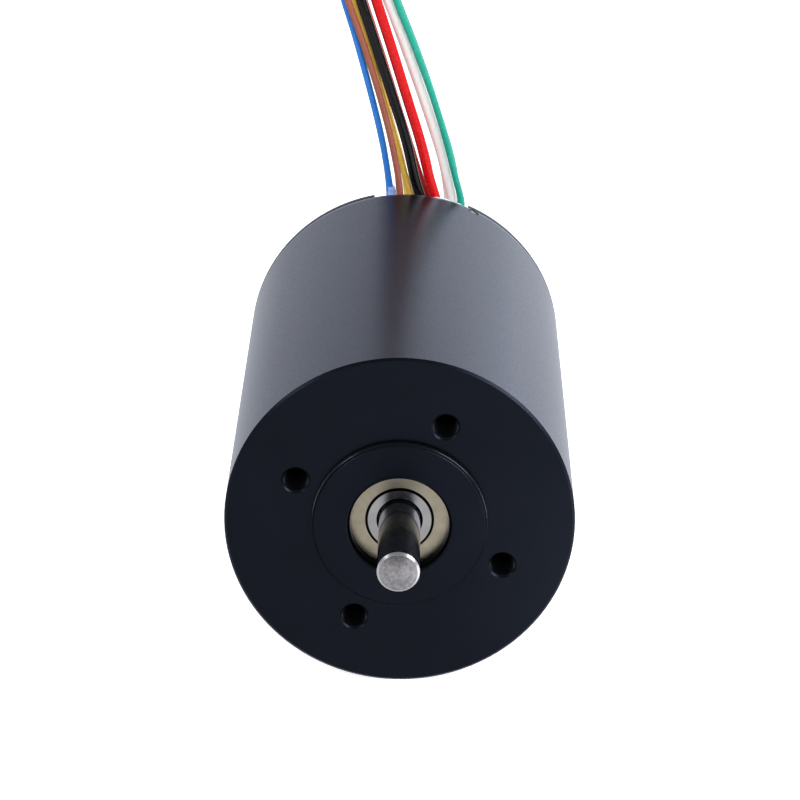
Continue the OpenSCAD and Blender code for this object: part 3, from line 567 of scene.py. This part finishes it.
MAKERS = {
    "black_anodised": black_anodised, "lamination_steel": lamination_steel,
    "enamelled_copper": enamelled_copper, "board": board, "solder": solder,
    "sealant": sealant, "shaft_steel": shaft_steel, "bearing_steel": bearing_steel,
}
METALS = {
    "screw_steel": {"colour": srgb(186, 188, 194), "rough": 0.28},
    "cage_steel": {"colour": srgb(176, 164, 122), "rough": 0.32},
    "spring_steel": {"colour": srgb(150, 154, 162), "rough": 0.3},
    "rotor_steel": {"colour": srgb(168, 171, 178), "rough": 0.3},
    "sleeve_steel": {"colour": srgb(196, 198, 204), "rough": 0.22},
    "balance_brass": {"colour": srgb(196, 164, 84), "rough": 0.3},
    # The shield is painted near black round the shaft: painted shade in the gap to the inner ring.
    "shield_steel": {"colour": srgb(169, 160, 141), "rough": 0.36, "bore": SHIELD_BORE_R},
    "tinned_copper": {"colour": srgb(200, 203, 208), "rough": 0.25, "marks": 3000,
                      "deep": 0.00001},
}
# Base colour, metallic, roughness, scale of the clouds, their two tones, scale of the grain, depth
MOTTLED = {
    "insulating_film": (srgb(214, 196, 120), 0.0, 0.35, 300,
                        (srgb(220, 200, 130), srgb(196, 172, 92)), 2500, 0.000004),
    "insulator": (srgb(40, 84, 62), 0.0, 0.5, 500,
                  (srgb(36, 78, 58), srgb(50, 96, 72)), 3000, 0.000006),
    "chip": (srgb(30, 30, 32), 0.0, 0.55, 900,
             (srgb(26, 26, 28), srgb(38, 38, 40)), 6000, 0.000005),
    "magnet": (srgb(120, 124, 132), 1.0, 0.34, 260,
               (srgb(104, 108, 116), srgb(138, 142, 150)), 3200, 0.000006),
}
WIRES = {
    "blue": (srgb(52, 134, 226), srgb(40, 116, 206)),
    "brown": (srgb(162, 94, 78), srgb(142, 76, 62)),
    "yellow": (srgb(252, 212, 98), srgb(242, 192, 74)),
    "black": (srgb(7, 6, 8), srgb(4, 4, 5)),
    "maroon": (srgb(200, 54, 40), srgb(176, 40, 32)),
    "red": (srgb(212, 14, 20), srgb(192, 8, 16)),
    "white": (srgb(253, 250, 248), srgb(250, 244, 242)),
    "green": (srgb(38, 164, 142), srgb(28, 146, 126)),
}
materials = {name: make() for name, make in MAKERS.items()}
for name, looks in METALS.items():
    materials[name] = metal(name, **looks)
for name, looks in MOTTLED.items():
    materials[name] = mottled(name, *looks)
for name, tones in WIRES.items():
    materials["wire_" + name] = insulation("wire_" + name, *tones)


# Every CAD node gets the finish of its slot in the record.
for row in frame["record"]["subparts"]:
    mesh = nodes[row["node"]].data
    mesh.materials.clear()
    mesh.materials.append(materials[row["material_slot"]])


# Tubes that end in a cap, for the tinned ends and the sealant


def closed_tube(name, circles, finish):
    """A smooth, closed tube through circles of places in millimetres."""
    mesh = bmesh.new()
    rings = [[mesh.verts.new(place * MM) for place in circle] for circle in circles]
    for a, b in zip(rings[:-1], rings[1:]):
        for k in range(len(a)):
            following = (k + 1) % len(a)
            mesh.faces.new((a[k], a[following], b[following], b[k]))
    mesh.faces.new(list(reversed(rings[0])))
    mesh.faces.new(rings[-1])
    bmesh.ops.recalc_face_normals(mesh, faces=mesh.faces)
    data = bpy.data.meshes.new(name)
    mesh.to_mesh(data)
    mesh.free()
    data.shade_smooth()
    data.materials.append(finish)
    piece = bpy.data.objects.new(name, data)
    bpy.context.scene.collection.objects.link(piece)
    return piece


# Leads and their tinned ends


def rounded_off(t):
    """The width of a strand at t from 0 to 1 along it, as a share: its end is rounded off."""
    if t < ROUND_FROM:
        return 1.0
    left = 1 - ((t - ROUND_FROM) / ROUND_SHARE) ** 2
    return math.sqrt(max(0.0, left)) * 0.75 + 0.25


def tinned_end(colour, places):
    """A twisted, tinned strand that sticks out of the insulation."""
    end = places[-1]
    way = (end - places[-2]).normalized()
    side = way.cross(Vector((0, 0, 1))).normalized()
    up = side.cross(way)
    radius = LEADS[colour][0] * CORE_SHARE / 2
    circles = []
    for i in range(TIP_RINGS + 1):
        t = i / TIP_RINGS
        centre = end + way * (-TIP_HIDDEN + (TIP_LEN + TIP_HIDDEN) * t)
        close = rounded_off(t)
        circle = []
        for k in range(TIP_SIDES):
            angle = 2 * math.pi * k / TIP_SIDES
            ripple = 1 - STRAND_RIPPLE * abs(math.sin(3.5 * (angle + t * 5.5)))
            r = radius * ripple * close
            circle.append(centre + side * (r * math.cos(angle)) + up * (r * math.sin(angle)))
        circles.append(circle)
    piece = closed_tube("tip_" + colour, circles, materials["tinned_copper"])
    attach(piece, "stator")
    return piece


for colour, (diameter, inset, xs, end) in LEADS.items():
    places = lead_places(colour)
    line = smooth_line(places, pieces=5)
    wire = make_curve("wire_" + colour, line, diameter / 2, sides=7)
    wire.data.materials.append(materials["wire_" + colour])
    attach(wire, "stator")
    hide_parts("lead_" + colour)
    tip = tinned_end(colour, places)
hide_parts("lead_tips")


# Sealant
BEAD_STEPS = 40
BEAD_START_X = 3.4
BEAD_WIDTH = 5.1
BEAD_BEFORE_END = 0.62
BEAD_DEPTH = 0.42
RISE_STEPS = 60
COLLAR_FROM_Z = 15.6
COLLAR_TO_Z = 21.25


def lumpy_strand(name, spine, radii, lumps):
    """A closed, uneven strand of sealant along a spine, in millimetres."""
    sides = 20
    circles = []
    last = len(spine) - 1
    for i, (centre, radius) in enumerate(zip(spine, radii)):
        way = (spine[min(i + 1, last)] - spine[max(i - 1, 0)]).normalized()
        side = way.cross(Vector((0.3, 1, 0.2))).normalized()
        up = side.cross(way)
        circle = []
        for k in range(sides):
            angle = 2 * math.pi * k / sides
            out = side * math.cos(angle) + up * math.sin(angle)
            swell = 1 + lumps * noise.noise((centre + out * radius) * 1.6)
            circle.append(centre + out * (radius * swell))
        circles.append(circle)
    piece = closed_tube(name, circles, materials["sealant"])
    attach(piece, "stator")


def bulge(t, height, middle, width):
    return height * math.exp(-((t - middle) / width) ** 2)


# A bead that swelled over the edge of the slot, on top of the sealant
bead_spine = []
bead_radii = []
for i in range(BEAD_STEPS + 1):
    t = i / BEAD_STEPS
    x = BEAD_START_X + BEAD_WIDTH * t
    y = CAP_END - BEAD_BEFORE_END + 0.08 * math.sin(7 * t)
    from_axis = BODY_R - BEAD_DEPTH + 0.04 * math.sin(9 * t)
    bead_spine.append(Vector((x, y, math.sqrt(from_axis * from_axis - x * x))))
    swell = (0.14 + bulge(t, height=0.2, middle=0.42, width=0.16)
             + bulge(t, height=0.12, middle=0.8, width=0.1))
    bead_radii.append(0.05 + swell * math.sin(math.pi * (0.04 + 0.92 * t)) ** 0.5)
lumpy_strand("seal_bead", bead_spine, bead_radii, lumps=0.4)

# A collar that climbed the blue lead as the sealant was poured
rise = [place for place in smooth_line(lead_places("blue"), pieces=8)[:RISE_STEPS]
        if COLLAR_FROM_Z < place.z < COLLAR_TO_Z and place.y > CAN_LEN]
collar_spine = []
collar_radii = []
for i, place in enumerate(rise):
    t = i / (len(rise) - 1)
    collar_spine.append(place + Vector((0.02 + 0.14 * t, -0.12 * t, 0)))
    collar_radii.append(0.14 + 0.6 * math.sin(math.pi * (0.08 + 0.87 * t)) ** 0.3)
lumpy_strand("seal_collar", collar_spine, collar_radii, lumps=0.35)


# Floor and light
WHITE = (1, 1, 1)
COOL = (0.96, 0.975, 1.0)
DAYLIGHT = (0.97, 0.985, 1.0)
FLOOR_HALF = 3.0
FLOOR_LIGHT = 0.8
FLOOR_RIGHT_X = (0.022, 0.1)
STRIP_SIDE_X = (0.008, 0.034)
STRIP_FRONT_Y = (-0.075, -0.04)
STRIP_BACK_Y = (0.0, -0.006)
CAMERA_SIDE = (0.0, -0.927, 0.375)
DARK_SIDE = (0.66, 0.86)
ROOM_LIGHT = 0.55
ROOM_MIRRORED = 0.62
DARK_MIRRORED = 0.03


def any_ray(tree, first, *others):
    """1 for rays of the named kinds, 0 for the rest."""
    path = tree.nodes.new("ShaderNodeLightPath")
    out = path.outputs[first]
    for name in others:
        more = tree.nodes.new("ShaderNodeMath")
        more.operation = "MAXIMUM"
        tree.links.new(out, more.inputs[0])
        tree.links.new(path.outputs[name], more.inputs[1])
        out = more.outputs["Value"]
    return out


def pick(tree, factor, shader, other):
    """The first shader where the factor is 0, and the other where it is 1."""
    node = tree.nodes.new("ShaderNodeMixShader")
    tree.links.new(factor, node.inputs["Fac"])
    tree.links.new(shader, node.inputs[1])
    tree.links.new(other, node.inputs[2])
    return node.outputs["Shader"]


def glow(tree, kind, colour, strength):
    """Emission or Background, with a number or another output as its strength."""
    node = tree.nodes.new("ShaderNode" + kind)
    feed(tree, colour, node.inputs["Color"])
    feed(tree, strength, node.inputs["Strength"])
    return node.outputs[0]


def show_by_ray(tree, output, usual, mirrored, seen):
    """The camera sees one shader, reflections show another, and other rays meet the usual one."""
    bounced = pick(tree, any_ray(tree, "Is Glossy Ray", "Is Transmission Ray"), usual, mirrored)
    shown = pick(tree, any_ray(tree, "Is Camera Ray"), bounced, seen)
    tree.links.new(shown, tree.nodes[output].inputs["Surface"])


# The floor is pale card. The camera sees it lifted to white, with a faint shadow under the
# motor. Reflections show it a little cooler, brighter toward the right and brightest in a strip
# at the front right.
card = Shade("floor", (0.8, 0.8, 0.8), 0.0, 0.9)
card.set(Specular_IOR_Level=0.0)
x, y, _ = card.split()
to_right = card.span(x, FLOOR_RIGHT_X, 1.0, 1.7)
beside = card.span(x, STRIP_SIDE_X, 0.0, 1.5)
in_strip = card.times(card.above(y, STRIP_FRONT_Y), card.above(y, STRIP_BACK_Y))
bright = card.math("ADD", to_right, card.times(beside, in_strip))
plain = card.shader.outputs["BSDF"]
lifted = card.tree.nodes.new("ShaderNodeAddShader")
card.link(plain, lifted.inputs[0])
card.link(glow(card.tree, "Emission", WHITE, FLOOR_LIGHT), lifted.inputs[1])
show_by_ray(card.tree, "Material Output", plain, glow(card.tree, "Emission", COOL, bright),
            lifted.outputs["Shader"])

floor_mesh = bpy.data.meshes.new("floor")
floor_z = (FLOOR_Z - FLOOR_GAP) * MM
floor_mesh.from_pydata([(-FLOOR_HALF, -FLOOR_HALF, floor_z), (FLOOR_HALF, -FLOOR_HALF, floor_z),
                        (FLOOR_HALF, FLOOR_HALF, floor_z), (-FLOOR_HALF, FLOOR_HALF, floor_z)],
                       [], [(0, 1, 2, 3)])
floor_mesh.materials.append(card.material)
floor = bpy.data.objects.new("floor", floor_mesh)
bpy.context.scene.collection.objects.link(floor)

# The room is pale too. Reflections show it cooler, and dark round the camera's place.
world = bpy.data.worlds.new("studio")
bpy.context.scene.world = world
world.use_nodes = True
tree = world.node_tree
toward = tree.nodes.new("ShaderNodeVectorMath")
toward.operation = "DOT_PRODUCT"
tree.links.new(tree.nodes.new("ShaderNodeTexCoord").outputs["Generated"], toward.inputs[0])
toward.inputs[1].default_value = CAMERA_SIDE
room = pick(tree, span(tree, toward.outputs["Value"], *DARK_SIDE),
            glow(tree, "Background", COOL, ROOM_MIRRORED),
            glow(tree, "Background", COOL, DARK_MIRRORED))
show_by_ray(tree, "World Output", glow(tree, "Background", DAYLIGHT, ROOM_LIGHT), room,
            glow(tree, "Background", WHITE, 1.0))

# Each softbox: its place, what it faces, its width and height, its power in watts, and whether
# reflections show it
LAMPS = {
    "back": ((0.0, 1.1, 0.42), (0, 0.03, 0), (2.0, 0.8), 3.0, True),
    "edge": ((0.6, 0.8, 0.25), (0, 0.03, 0), (0.6, 0.45), 1.3, True),
    "key": ((0.62, -0.22, 0.45), (0, 0.03, 0), (0.42, 0.42), 4.5, True),
    "band": ((0.22, 0.95, 0.3), (0, 0.03, 0), (0.34, 0.25), 0.26, True),
    "kicker": ((-0.6, -0.22, 0.5), (0, 0, 0), (0.16, 0.16), 0.7, True),
    "front": ((0.1, -0.75, 0.5), (0, 0.03, 0.01), (0.5, 0.5), 4.2, False),
}
for name, (place, target, size, power, reflected) in LAMPS.items():
    data = bpy.data.lights.new(name, "AREA")
    data.shape = "RECTANGLE"
    data.size, data.size_y = size
    data.energy = power
    data.color = DAYLIGHT
    lamp = bpy.data.objects.new(name, data)
    bpy.context.scene.collection.objects.link(lamp)
    lamp.location = place
    way = Vector(target) - Vector(place)
    lamp.rotation_mode = "QUATERNION"
    lamp.rotation_quaternion = way.to_track_quat("-Z", "Y")
    lamp.visible_camera = False
    lamp.visible_glossy = reflected
